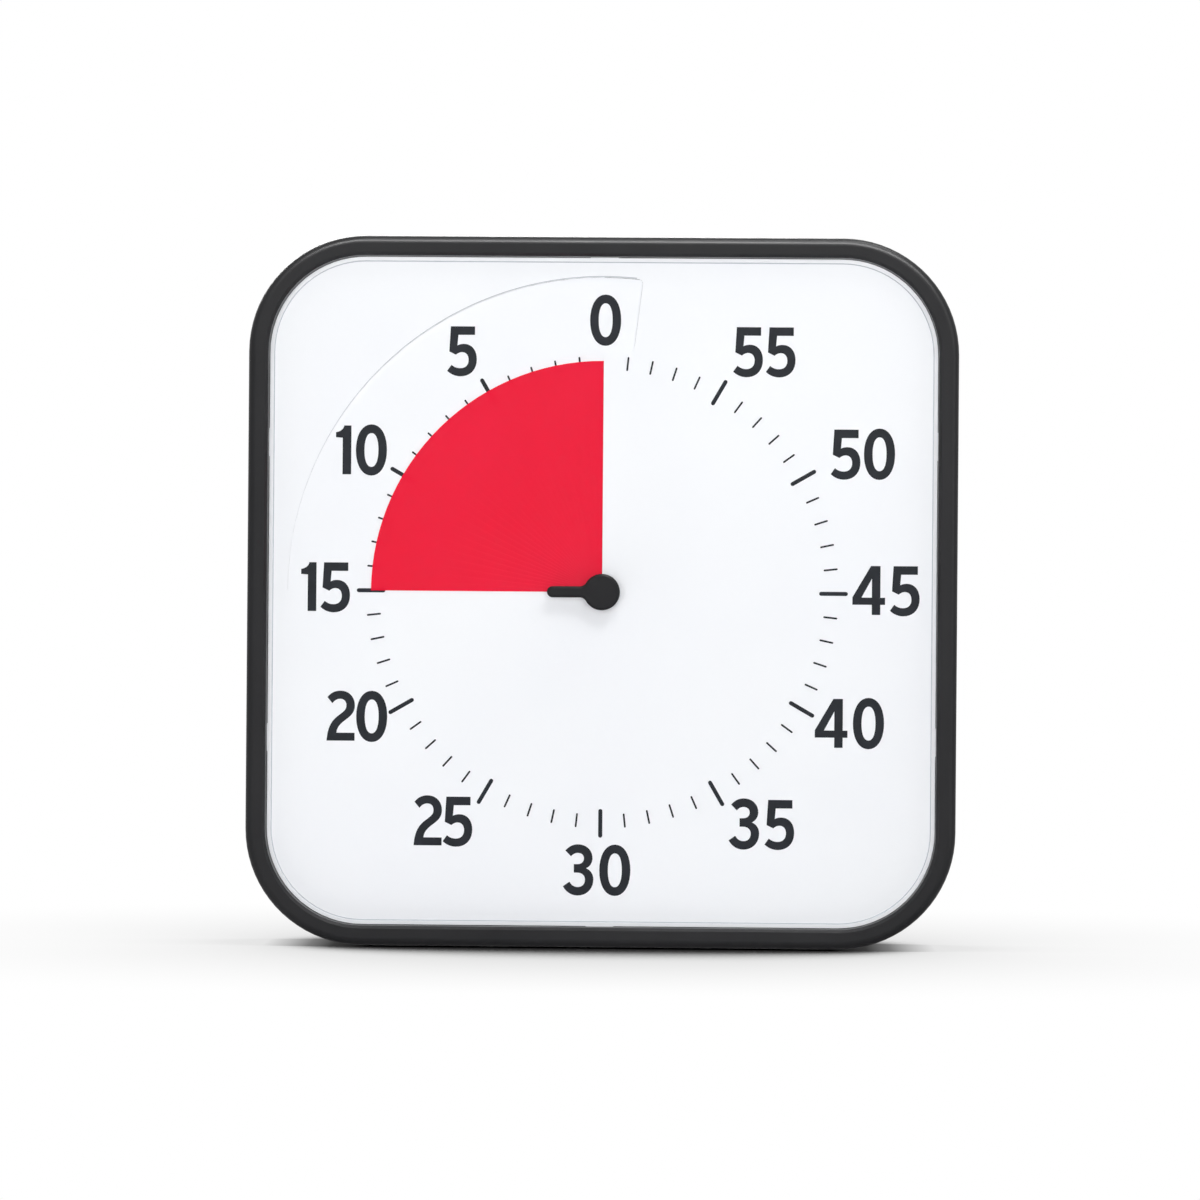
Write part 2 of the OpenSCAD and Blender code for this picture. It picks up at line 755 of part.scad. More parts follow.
module movement_cover() {
    outer_w = case_w + 2 * case_wall;
    outer_h = chamber_h + 2 * case_wall;
    color("#e6e6e0") upright() difference() {
        union() {
            translate([-outer_w / 2, fit - chamber_h / 2, plate_z - plate_t])
                cube([outer_w, chamber_h + case_wall - fit, plate_t]);
            for (x = [-board_w / 2 + 5, 0, board_w / 2 - 5])
                translate([x, board_y + board_h / 2, 0]) disc(1.5, plate_z - eps, board_z);
            for (x = [stator_left + leg_w / 2, stator_right - leg_w / 2])
                translate([x, core_y - 4, 0]) disc(1.2, plate_z - eps, stator_z);
        }
        disc(1 + run, plate_z - 2 * pivot_in - 0.1, plate_z + 1);
        for (p = arbor_at) at(p) disc(pivot_r + run, plate_z - pivot_in - 0.1, plate_z + 1);
    }
}

// Pad on a battery end at x and the strip from it to the board
module contact_face(x) {
    translate([x, bay_y - contact_pad / 2, battery_z - contact_pad / 2])
        cube([contact_t, contact_pad, contact_pad]);
    translate([x, bay_y, plate_z + 0.3]) cube([contact_t, contact_end_y - bay_y, contact_w]);
}

module positive_contact() {
    x = case_w / 2 - contact_t - 0.02;
    color("#cfd1d4") upright() contact_face(x);
}

module negative_contact() {
    x = -case_w / 2 + 0.02;
    color("#cfd1d4") upright() {
        contact_face(x);
        translate([x + contact_t, bay_y, battery_z]) coil_spring(battery_x - x - contact_t - 0.05);
    }
}

// Conical spring along x, swept as one tube
module coil_spring(len) {
    turns = 3;
    wire = 0.35;
    rings = 54;
    sides = 6;
    function centre(t) = let (r = spring_r + (spring_tip_r - spring_r) * t, a = 360 * turns * t)
        [wire / 2 + (len - 1.5 * wire) * t, r * cos(a), r * sin(a)];
    points = [for (i = [0:rings]) let (t = i / rings, c = centre(t), a = 360 * turns * t)
        each [for (j = [0:sides - 1]) let (b = 360 * j / sides, q = wire * cos(b))
            [c[0] + wire * sin(b), c[1] + q * cos(a), c[2] + q * sin(a)]]];
    faces = [for (i = [0:rings - 1], j = [0:sides - 1]) let (k = (j + 1) % sides)
        each [[sides * i + j, sides * i + k, sides * (i + 1) + k],
            [sides * i + j, sides * (i + 1) + k, sides * (i + 1) + j]]];
    first = [[for (j = [sides - 1:-1:0]) j]];
    last = [[for (j = [0:sides - 1]) sides * rings + j]];
    polyhedron(points = points, faces = concat(faces, first, last));
}

module aa_battery() {
    nub = 1.2;
    color("#3b6ea8") upright() translate([battery_x, bay_y, battery_z]) rotate([0, 90, 0]) {
        cylinder(r = battery_r, h = battery_len - nub);
        translate([0, 0, battery_len - nub - eps]) cylinder(r = 2.6, h = nub + eps);
    }
}

// ---------- rear ----------

module rear_cover() {
    lip_in = 2 * (wall + fit);
    color("#2a2a2c") upright() difference() {
        union() {
            difference() {
                slab(housing_w, housing_h, corner_r, rear_z, part_z);
                slab(housing_w - 2 * wall, housing_h - 2 * wall, corner_r - wall, cover_in_z, part_z + 1);
            }
            difference() {
                slab(housing_w - lip_in, housing_h - lip_in, corner_r - lip_in / 2,
                    cover_in_z - eps, part_z + 2);
                slab(housing_w - lip_in - 3, housing_h - lip_in - 3, corner_r - lip_in / 2 - 1.5,
                    cover_in_z - 1, part_z + 3);
            }
            difference() {
                slab(housing_w - lip_in + 1, housing_h - lip_in + 1, corner_r - wall,
                    cover_in_z - eps, part_z - fit);
                slab(housing_w - lip_in - 1, housing_h - lip_in - 1, corner_r - wall - 1,
                    cover_in_z - 1, part_z + 1);
            }
            for (p = post_at) at(p) disc(post_r, rear_z + 1, post_end_z);
            for (s = [-1, 1], y = [-ear_y, ear_y])
                translate([s * ear_x, y, 0]) disc(ear_r - 0.4, cover_in_z - eps, plate_z);
            sounder_ring();
            for (s = [-1, 1]) foot_pocket(s, pocket_wall);
            for (s = [-1, 1]) hinge_lug(s);
        }
        around(housing_w, housing_h, corner_r) edge_cut(corner_r, rear_z, rear_edge_r, -1);
        for (p = post_at) at(p) screw_hole();
        for (s = [-1, 1], y = [-ear_y, ear_y])
            translate([s * ear_x, y, 0]) disc(pilot_r, cover_in_z + 0.4, plate_z + 1);
        for (s = [-1, 1]) translate([s * keyhole_span / 2, keyhole_y, 0]) keyhole();
        door_opening();
        grille();
        switch_slot();
        for (s = [-1, 1]) foot_pocket(s, 0);
        for (s = [-1, 1]) foot_pin_hole(s);
    }
}

module screw_hole() {
    disc(screw_r + 0.2, rear_z, part_z);
    disc(head_r + 0.3, rear_z - 1, well_z);
}

module keyhole() {
    disc(keyhole_r, rear_z - 1, cover_in_z + 1);
    translate([-keyslot_r, 0, rear_z - 1]) cube([2 * keyslot_r, keyhole_r + 6, wall + 1]);
    translate([0, keyhole_r + 6, 0]) disc(keyslot_r, rear_z - 1, cover_in_z + 1);
}

module door_opening() {
    w = door_w + 2 * door_gap;
    y0 = hinge_y - knuckle_r - door_gap;
    translate([-w / 2, y0, rear_z - 1]) cube([w, door_top + door_gap - y0, cover_in_z - rear_z + 2]);
    translate([-w / 2 - door_pin_len - fit, hinge_y, hinge_z]) rotate([0, 90, 0])
        cylinder(r = door_pin_r + run, h = w + 2 * door_pin_len + 2 * fit);
    translate([0, door_top + 2, rear_z - 6]) sphere(r = 7.5);
}

// Thickening of the rear wall that takes a hinge pin of the battery door
module hinge_lug(s) {
    x0 = s > 0 ? door_w / 2 + door_gap : -door_w / 2 - door_gap - 4;
    translate([x0, hinge_y - 3, rear_z + 1]) cube([4, 6, cover_in_z - rear_z + 0.6]);
}

module sounder_ring() {
    at(sounder_at) difference() {
        disc(sounder_r + 1, cover_in_z - eps, sounder_z);
        disc(sounder_r - 1.5, cover_in_z - 1, sounder_z + 1);
    }
}

module grille() {
    for (i = [-2:2], j = [-2:2]) {
        x = (i + j / 2) * grille_pitch;
        y = j * grille_pitch * sin(60);
        if (x * x + y * y < pow(2.3 * grille_pitch, 2))
            at(sounder_at + [x, y]) disc(grille_r, rear_z - 1, cover_in_z + 1);
    }
}

module switch_slot() {
    len = switch_travel + switch_stem + 1;
    translate([switch_at[0] - len / 2, switch_at[1] - switch_stem / 2 - 0.3, rear_z - 1])
        cube([len, switch_stem + 0.6, wall + 1]);
}

// Pocket for a stowed foot, open below and to the rear; grow makes its walls
module foot_pocket(s, grow) {
    r = foot_w / 2 + pocket_gap + grow;
    len = foot_len + pocket_gap + grow;
    y0 = -housing_h / 2 - (grow > 0 ? 0 : 2);
    h = pocket_y + grow - y0;
    translate([s * foot_x, y0, foot_z]) {
        rotate([-90, 0, 0]) cylinder(r = r, h = h);
        rear = grow > 0 ? foot_z - rear_z - 0.01 : foot_z - rear_z + 2;
        translate([s > 0 ? -len : -r, 0, -rear]) cube([len + r, h, rear]);
        translate([s > 0 ? -len : 0, 0, -1]) cube([len, h, r + 1]);
    }
}

module foot_pin_hole(s) {
    translate([s * foot_x, pocket_y - 1, foot_z]) rotate([-90, 0, 0])
        cylinder(r = foot_pin_r + 0.02, h = pin_len);
}

module battery_door() {
    color("#2a2a2c") upright() {
        difference() {
            translate([-door_w / 2, hinge_y, rear_z]) cube([door_w, door_top - hinge_y, door_t]);
            translate([0, door_top + 2, rear_z - 6]) sphere(r = 7.5);
        }
        translate([-door_w / 2, hinge_y, hinge_z]) rotate([0, 90, 0]) cylinder(r = knuckle_r, h = door_w);
        translate([-door_w / 2 - door_gap - door_pin_len, hinge_y, hinge_z]) rotate([0, 90, 0])
            cylinder(r = door_pin_r, h = door_w + 2 * (door_gap + door_pin_len));
    }
}

module alert_switch_body() {
    w = switch_travel + switch_stem + 6;
    color("#3a3a3d") upright() translate([switch_at[0], switch_at[1], cover_in_z]) difference() {
        translate([-w / 2, -4.5, 0]) cube([w, 9, switch_d + 1.2]);
        translate([-w / 2 + 2, -switch_stem / 2 - 0.3, -1]) cube([w - 4, switch_stem + 0.6, switch_d + 1]);
    }
}

module alert_switch_knob() {
    x = switch_at[0] - switch_travel / 2;
    top = cover_in_z + switch_d - 0.3;
    color("#c8c9cb") upright() translate([x - switch_stem / 2, switch_at[1] - switch_stem / 2, rear_z + 0.4])
        cube([switch_stem, switch_stem, top - rear_z - 0.4]);
}

module sounder_disc() {
    color("#c8a24a") upright() at(sounder_at) {
        disc(sounder_r, sounder_z, sounder_z + sounder_t);
        disc(sounder_r - 4, sounder_z + sounder_t - eps, sounder_top_z);
    }
}

module sounder_leads() {
    color("#b03030") upright() for (s = [-1, 1]) translate([0, s * lead_apart, 0])
        for (i = [0:2]) rod(lead_points[i], lead_points[i + 1], lead_r);
}

// Straight run from a to b, longer by r / 2 at each end so that bent runs join
module rod(a, b, r) {
    d = b - a;
    translate(a) rotate([0, acos(d[2] / norm(d)), atan2(d[1], d[0])]) translate([0, 0, -r / 2])
        cylinder(r = r, h = norm(d) + r, $fn = 24);
}

// ---------- base ----------

// Foot that swings about its pin from under the cover to straight back
module foot(s) {
    color("#2a2a2c") upright() translate([s * foot_x, foot_top - foot_h, foot_z])
    rotate([-90, 0, 0]) difference() {
        union() {
            cylinder(d = foot_w, h = foot_h);
            translate([s > 0 ? -foot_len + foot_w / 2 : 0, -foot_w / 2, 0])
                cube([foot_len - foot_w / 2, foot_w, foot_h]);
            translate([s * (foot_w / 2 - foot_len), 0, 0]) cylinder(d = foot_w, h = foot_h);
        }
        translate([0, 0, -1]) cylinder(r = foot_pin_r + run, h = foot_h + 2);
        translate([0, 0, -1]) cylinder(r = pin_head_r + 0.3, h = 2.4);
    }
}

module foot_left() { foot(-1); }

module foot_right() { foot(1); }

module foot_pins() {
    color("#b9bbbe") upright() for (s = [-1, 1])
        translate([s * foot_x, foot_top - foot_h + 0.6, foot_z]) rotate([-90, 0, 0]) {
            cylinder(r = foot_pin_r, h = foot_h - 0.6 + pocket_gap + pin_len - 2);
            cylinder(r = pin_head_r, h = 0.7);
        }
}

module base_pads() {
    color("#1b1b1c") upright() for (s = [-1, 1])
        translate([s * foot_x - pad_len / 2, -housing_h / 2 - stand_off, pad_z - pad_w / 2])
            cube([pad_len, pad_t, pad_w]);
}

module screw(z_head, z_end) {
    disc(screw_r, z_head - head_h / 4, z_end);
    difference() {
        disc(head_r, z_head - head_h, z_head);
        for (a = [0, 90]) rotate([0, 0, a]) translate([0, 0, z_head - head_h])
            cube([1.3 * head_r, 0.3 * head_r, head_h], center = true);
    }
}

module housing_screws() {
    color("#8d8f93") upright() for (p = post_at) at(p) screw(well_z, post_end_z + screw_in);
}

module movement_screws() {
    color("#8d8f93") upright() for (s = [-1, 1], y = [-ear_y, ear_y])
        translate([s * ear_x, y, plate_z + ear_t]) rotate([180, 0, 0]) screw(0, ear_screw_len);
}

front_frame();
dial_plate();
recess_ramp();
red_disc();
setting_knob();
disc_hub();
main_shaft();
shaft_bush();
clutch_spring();
centre_wheel();
third_wheel();
second_wheel();
intermediate_wheel();
rotor();
stator();
coil();
circuit_board();
quartz_crystal();
timer_chip();
movement_case();
movement_cover();
positive_contact();
negative_contact();
aa_battery();
battery_door();
rear_cover();
alert_switch_body();
alert_switch_knob();
sounder_disc();
sounder_leads();
foot_left();
foot_right();
foot_pins();
base_pads();
housing_screws();
movement_screws();
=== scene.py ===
# %% [markdown]
# # Dressing a visual countdown timer
# The timer is a black square case with a white dial in it. A red disc winds out of a slit in the
# dial, so that the red that is left shows the time that is left. The pieces that move and fit are
# loaded as a fixed frame. This lesson gives each of them its finish, prints the dial, adds the
# small moulded details, and lights the whole as a plain studio shot.

# %% Load the frame
import json
import math

import bmesh
import bpy
from mathutils import Matrix, Vector
from mathutils.bvhtree import BVHTree
from mathutils.geometry import tessellate_polygon


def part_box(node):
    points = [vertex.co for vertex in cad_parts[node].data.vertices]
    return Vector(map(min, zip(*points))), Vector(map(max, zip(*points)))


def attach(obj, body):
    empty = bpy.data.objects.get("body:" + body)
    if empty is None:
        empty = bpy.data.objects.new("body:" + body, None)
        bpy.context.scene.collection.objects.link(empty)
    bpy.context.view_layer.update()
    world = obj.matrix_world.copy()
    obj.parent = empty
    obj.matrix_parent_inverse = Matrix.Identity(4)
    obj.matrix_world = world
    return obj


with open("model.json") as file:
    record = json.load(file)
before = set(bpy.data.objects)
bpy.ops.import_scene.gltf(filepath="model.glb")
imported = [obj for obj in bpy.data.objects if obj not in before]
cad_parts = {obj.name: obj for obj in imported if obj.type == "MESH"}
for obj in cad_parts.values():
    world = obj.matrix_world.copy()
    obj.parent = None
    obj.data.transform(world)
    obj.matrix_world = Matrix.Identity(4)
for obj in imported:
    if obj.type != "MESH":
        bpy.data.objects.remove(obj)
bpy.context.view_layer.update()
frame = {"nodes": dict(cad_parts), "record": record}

# %% [markdown]
# The frame is in metres and people measure small things in millimetres, so one factor does the
# change. The planes of the dial and the rim are read from the frame, because what is added here
# has to lie on them.

# %% Places taken from the frame
MM = 0.001
DIAL_BORDER_H = 0.8 * MM
front_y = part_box("front_frame")[0].y
centre_z = (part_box("front_frame")[0].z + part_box("front_frame")[1].z) / 2
dial_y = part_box("dial_plate")[0].y + DIAL_BORDER_H
print("rim at", round(front_y / MM, 2), "mm, dial face at", round(dial_y / MM, 2), "mm")

# %% [markdown]
# ## Colours and shader nodes
# A colour is written as an artist picks it, as an sRGB hex value. Shaders work with linear light,
# so one function turns the one into the other.
#
# Every material is a small graph of nodes. One function adds a node: it takes the node's
# settings, the constants in its sockets, and what is linked into it.

# %% Colour and node helpers
def linear(hex_code):
    """sRGB hex such as '#f4f8fb' to linear RGBA."""
    channels = [int(hex_code[i:i + 2], 16) / 255 for i in (1, 3, 5)]
    return [c / 12.92 if c <= 0.04045 else ((c + 0.055) / 1.055) ** 2.4 for c in channels] + [1.0]


def add_node(tree, kind, settings=None, values=None, links=None):
    """Adds one shader node and returns it."""
    made = tree.nodes.new("ShaderNode" + kind)
    for name, value in (settings or {}).items():
        setattr(made, name, value)
    for socket, value in (values or {}).items():
        made.inputs[socket].default_value = value
    for socket, source in (links or {}).items():
        tree.links.new(source, made.inputs[socket])
    return made


def new_material(name, colour, roughness, **sockets):
    """A material with one Principled shader; constants sit on the shader's own sockets."""
    material = bpy.data.materials.new(name)
    material.use_nodes = True
    tree = material.node_tree
    tree.nodes.clear()
    values = {"Base Color": linear(colour), "Roughness": roughness}
    values.update({socket.replace("_", " "): value for socket, value in sockets.items()})
    shader = add_node(tree, "BsdfPrincipled", values=values)
    add_node(tree, "OutputMaterial", links={"Surface": shader.outputs["BSDF"]})
    return material, tree, shader


# %% [markdown]
# A moulded surface is never one flat colour. Its steel mould leaves a grain, the melt leaves
# faint clouds of colour, and hands and cleaning change the gloss a little. Three small helpers
# add these to any material. Each pattern's scale is worked out from a real spacing in
# millimetres, and it is fixed to the object, so that it moves with its piece.

# %% Pattern helpers
WAVES_PER_SCALE = 20


def place_of(tree):
    """The place on the piece, in metres."""
    return add_node(tree, "TexCoord").outputs["Object"]


def wave_scale(spacing_mm):
    """The wave texture's scale for lines spacing_mm apart; at scale 1 it draws 20 in a unit."""
    return 1 / (spacing_mm * MM) / WAVES_PER_SCALE


def add_grain(tree, shader, spacing_mm, height_mm):
    """Bumps about spacing_mm apart, as a spark-eroded or blasted mould leaves them."""
    noise = add_node(tree, "TexNoise", values={"Scale": 1 / (spacing_mm * MM), "Detail": 3.0},
        links={"Vector": place_of(tree)})
    bump = add_node(tree, "Bump", values={"Strength": 1.0, "Distance": height_mm * MM},
        links={"Height": noise.outputs["Fac"]})
    tree.links.new(bump.outputs["Normal"], shader.inputs["Normal"])


def add_clouds(tree, shader, colours, spacing_mm):
    """Slow change between two close colours, spacing_mm apart."""
    noise = add_node(tree, "TexNoise", values={"Scale": 1 / (spacing_mm * MM), "Detail": 2.0},
        links={"Vector": place_of(tree)})
    ramp = add_node(tree, "ValToRGB", links={"Fac": noise.outputs["Fac"]})
    for element, colour, position in zip(ramp.color_ramp.elements, colours, (0.35, 0.65)):
        element.color = linear(colour)
        element.position = position
    tree.links.new(ramp.outputs["Color"], shader.inputs["Base Color"])


def add_gloss_change(tree, shader, low, high, spacing_mm):
    """Roughness that drifts between low and high."""
    noise = add_node(tree, "TexNoise", values={"Scale": 1 / (spacing_mm * MM), "Detail": 4.0},
        links={"Vector": place_of(tree)})
    spread = add_node(tree, "MapRange", values={"From Min": 0.3, "From Max": 0.7,
        "To Min": low, "To Max": high}, links={"Value": noise.outputs["Fac"]})
    tree.links.new(spread.outputs["Result"], shader.inputs["Roughness"])


# %% [markdown]
# ## Plastics
# The case is **ABS**, injection moulded. Its mould is spark-eroded, which leaves a fine even
# grain about a quarter of a millimetre apart: the black looks soft and slightly grey, and only
# the rounded edges catch a line of light. The grain is drawn a little coarser than it is, so
# that it shows at this size.

# %% Moulded plastics
def housing_abs():
    material, tree, shader = new_material("abs_black_spark_eroded", "#1d1d1f", 0.38, IOR=1.53,
        Specular_IOR_Level=0.18)
    add_clouds(tree, shader, ("#1c1c1e", "#1f1f21"), 60)
    add_gloss_change(tree, shader, 0.34, 0.42, 35)
    add_grain(tree, shader, 0.45, 0.012)
    return material


def knob_abs():
    # the knob's mould is polished more finely than the case's, so it is blacker and glossier
    material, tree, shader = new_material("abs_black_satin", "#18181a", 0.32, IOR=1.53,
        Specular_IOR_Level=0.18)
    add_clouds(tree, shader, ("#17171a", "#1a1a1c"), 12)
    add_gloss_change(tree, shader, 0.28, 0.36, 9)
    add_grain(tree, shader, 0.35, 0.006)
    return material


def dial_polystyrene():
    # high-impact polystyrene from a lapped mould: a cool even white with a satin face
    material, tree, shader = new_material("polystyrene_white_satin", "#f3f5f9", 0.42, IOR=1.59,
        Specular_IOR_Level=0.3)
    add_clouds(tree, shader, ("#f3f5f9", "#f5f7fa"), 90)
    add_gloss_change(tree, shader, 0.38, 0.46, 40)
    add_grain(tree, shader, 0.5, 0.004)
    return material


def clockwork_abs():
    # the clockwork's shell comes from a plain milled mould, with fine tool lines on its faces
    material, tree, shader = new_material("abs_black_milled_mould", "#1d1d1f", 0.38, IOR=1.53)
    lines = add_node(tree, "TexWave", {"bands_direction": "X"}, {"Scale": wave_scale(0.8),
        "Distortion": 0.6, "Detail": 1.0}, {"Vector": place_of(tree)})
    bump = add_node(tree, "Bump", values={"Strength": 0.6, "Distance": 0.01 * MM},
        links={"Height": lines.outputs["Fac"]})
    tree.links.new(bump.outputs["Normal"], shader.inputs["Normal"])
    add_gloss_change(tree, shader, 0.32, 0.44, 15)
    return material


def acetal(name, colours, roughness):
    # acetal is a waxy, slightly see-through plastic: light spreads a little way into it
    material, tree, shader = new_material(name, colours[0], roughness, IOR=1.48,
        Subsurface_Weight=0.15, Subsurface_Scale=1.5 * MM)
    shader.inputs["Subsurface Radius"].default_value = (1.0, 0.9, 0.8)
    add_clouds(tree, shader, colours, 4)
    add_grain(tree, shader, 0.3, 0.003)
    return material


def switch_plastic():
    material, tree, shader = new_material("polyamide_black", "#242426", 0.5, IOR=1.53)
    add_clouds(tree, shader, ("#222224", "#29292b"), 6)
    add_grain(tree, shader, 0.3, 0.01)
    return material


def switch_knob_abs():
    material, tree, shader = new_material("abs_grey_fine_grain", "#8d9094", 0.48, IOR=1.53)
    add_clouds(tree, shader, ("#898c90", "#929599"), 5)
    add_grain(tree, shader, 0.3, 0.01)
    return material


# %% [markdown]
# ## The red disc
# The disc is cut from **PVC film**, 0.3 mm thick and dyed red through. Some light passes through
# it, so the printed ticks behind it show as ghosts at most. An alpha below one gives that without
# any tracing through glass. The film has a front and a back face and light meets both, so the
# pair hides more than the alpha of one face says. Its calendered face has a fine haze and mirrors
# little.

# %% Red film
def red_film():
    material, tree, shader = new_material("pvc_film_red", "#ff093a", 0.44, IOR=1.54, Alpha=0.68,
        Specular_IOR_Level=0.1)
    add_clouds(tree, shader, ("#fe0838", "#ff0b3d"), 70)
    add_gloss_change(tree, shader, 0.4, 0.5, 50)
    add_grain(tree, shader, 0.8, 0.003)
    return material


# %% [markdown]
# ## Ink
# Numbers and ticks are **screen printed** with a slate ink. The mesh of the screen leaves a film
# a few hundredths of a millimetre thick with a slightly uneven gloss.

# %% Ink
def printed_ink(name, colours):
    material, tree, shader = new_material(name, colours[0], 0.5, IOR=1.5, Specular_IOR_Level=0.12)
    add_clouds(tree, shader, colours, 5)
    add_gloss_change(tree, shader, 0.45, 0.58, 3)
    return material


# %% [markdown]
# ## Metals
# A metal's colour is its reflection, so each starts from its own reflectance and keeps the
# shader's default index. Turned **brass** shows rings, stamped **silicon steel** is dull and
# grey, **zinc-plated** screws are bright and bluish, and **spring steel** is tempered to a
# straw tint. The **nickel** of the battery contacts is warm and polished by use.

# %% Metals
def metal(name, colours, roughness, scratch_mm, depth_mm, stretch):
    """Metal with fine lines: long noise, stretched along one axis, is a rolled or turned face."""
    material, tree, shader = new_material(name, colours[0], roughness, Metallic=1.0)
    add_clouds(tree, shader, colours, 3)
    spread = add_node(tree, "VectorMath", {"operation": "MULTIPLY"}, {1: stretch},
        {0: place_of(tree)})
    noise = add_node(tree, "TexNoise", values={"Scale": 1 / (scratch_mm * MM), "Detail": 4.0},
        links={"Vector": spread.outputs[0]})
    bump = add_node(tree, "Bump", values={"Strength": 0.5, "Distance": depth_mm * MM},
        links={"Height": noise.outputs["Fac"]})
    tree.links.new(bump.outputs["Normal"], shader.inputs["Normal"])
    rough = add_node(tree, "MapRange", values={"To Min": roughness * 0.8,
        "To Max": roughness * 1.3}, links={"Value": noise.outputs["Fac"]})
    tree.links.new(rough.outputs["Result"], shader.inputs["Roughness"])
    return material


def enamelled_wire():
    # copper wire of 0.1 mm, wound in layers: drawn 0.25 mm apart so that the turns show
    material, tree, shader = new_material("copper_wire_enamelled", "#b4652f", 0.3, Metallic=0.9)
    turns = add_node(tree, "TexWave", {"bands_direction": "X", "wave_profile": "SIN"},
        {"Scale": wave_scale(0.25), "Distortion": 0.2}, {"Vector": place_of(tree)})
    bump = add_node(tree, "Bump", values={"Strength": 1.0, "Distance": 0.1 * MM},
        links={"Height": turns.outputs["Fac"]})
    tree.links.new(bump.outputs["Normal"], shader.inputs["Normal"])
    add_clouds(tree, shader, ("#ab5d29", "#bd6f38"), 1)
    return material


# %% [markdown]
# ## The rest of the inside
# The board is **glass-epoxy** under green solder mask, whose copper tracks show as paler lines.
# The magnet is bonded **ferrite**, a sintered grey-black. The cell's sleeve is a printed shrink
# film with a copper-coloured end, and the pads are **rubber**, dull and slightly dusty.

# %% Board, magnet, cell and rubber
def solder_mask():
    material, tree, shader = new_material("glass_epoxy_green_mask", "#1f5a35", 0.3, IOR=1.5,
        Coat_Weight=0.4)
    tracks = add_node(tree, "TexBrick", {"offset": 0.37}, {"Scale": 1 / (2.4 * MM) / 10,
        "Mortar Size": 0.06, "Color1": linear("#1c5531"), "Color2": linear("#205e38"),
        "Mortar": linear("#3f8a55")}, {"Vector": place_of(tree)})
    tree.links.new(tracks.outputs["Color"], shader.inputs["Base Color"])
    add_grain(tree, shader, 0.6, 0.01)
    return material


def ferrite():
    material, tree, shader = new_material("ferrite_bonded", "#3a3a3c", 0.55, IOR=1.9)
    add_clouds(tree, shader, ("#343436", "#434345"), 0.6)
    add_grain(tree, shader, 0.2, 0.02)
    return material


def shrink_sleeve():
    material, tree, shader = new_material("shrink_sleeve_printed", "#26272b", 0.28, IOR=1.5,
        Coat_Weight=0.5)
    low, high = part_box("aa_battery")
    where = add_node(tree, "SeparateXYZ", links={"Vector": place_of(tree)})
    along = add_node(tree, "MapRange", values={"From Min": low.x, "From Max": high.x},
        links={"Value": where.outputs["X"]})
    bands = add_node(tree, "ValToRGB", {}, {}, {"Fac": along.outputs["Result"]})
    bands.color_ramp.interpolation = "CONSTANT"
    steps = ((0.0, "#26272b"), (0.64, "#c9cdd2"), (0.66, "#b26a35"), (0.965, "#c9cdd2"))
    for position, colour in steps[2:]:
        bands.color_ramp.elements.new(position)
    for element, (position, colour) in zip(bands.color_ramp.elements, steps):
        element.position = position
        element.color = linear(colour)
    tree.links.new(bands.outputs["Color"], shader.inputs["Base Color"])
    add_grain(tree, shader, 2.5, 0.01)
    return material


def pad_rubber():
    material, tree, shader = new_material("rubber_black", "#1a1a1a", 0.75, IOR=1.52)
    add_clouds(tree, shader, ("#171717", "#222222"), 4)
    add_grain(tree, shader, 0.4, 0.03)
    return material


# %% [markdown]
# ## Handing the finishes out
# The record names a material slot for every piece, so one table from slot to finish dresses the
# whole frame.

# %% Finish of every slot
finishes = {
    "housing_black": housing_abs(),
    "knob_black": knob_abs(),
    "dial_white": dial_polystyrene(),
    "disc_red": red_film(),
    "hub_plastic": acetal("acetal_black", ("#26262a", "#2c2c30"), 0.35),
    "brass": metal("brass_turned", ("#d6a957", "#e0b766"), 0.24, 0.15, 0.004, (1, 6, 1)),
    "spring_steel": metal("spring_steel_tempered", ("#b8b0a2", "#c6bfb2"), 0.28, 0.2, 0.003,
        (1, 1, 8)),
    "gear_plastic": acetal("acetal_natural", ("#ece8dc", "#f3f0e6"), 0.36),
    "magnet": ferrite(),
    "soft_iron": metal("silicon_steel_stamped", ("#8f9093", "#a2a3a6"), 0.42, 0.3, 0.006,
        (8, 1, 1)),
    "copper_wire": enamelled_wire(),
    "board_green": solder_mask(),
    "case_plastic": clockwork_abs(),
    "battery_wrap": shrink_sleeve(),
    "switch_plastic": switch_plastic(),
    "switch_grey": switch_knob_abs(),
    "lead_red": printed_ink("pvc_lead_red", ("#b3242c", "#bf2d34")),
    "screw_steel": metal("zinc_plated_steel", ("#b9bec6", "#ccd1d8"), 0.27, 0.12, 0.003, (6, 1, 1)),
    "pad_rubber": pad_rubber(),
}
slot_of = {part["node"]: part["material_slot"] for part in frame["record"]["subparts"]}
for name, piece in frame["nodes"].items():
    piece.data.materials.clear()
    piece.data.materials.append(finishes[slot_of[name]])
ink = printed_ink("screen_ink_slate", ("#202328", "#25282e"))
print("finishes:", len(finishes), "for", len(slot_of), "pieces")

# %% [markdown]
# ## Numbers for the dial
# The dial's numbers count backwards round it, and a plain sans serif is drawn here from lines and
# curves, as a type designer draws it. A pair of numbers is a corner of the outline; six numbers
# are a curve, given by its two handles and its end. The flat height of a figure is 21 mm.

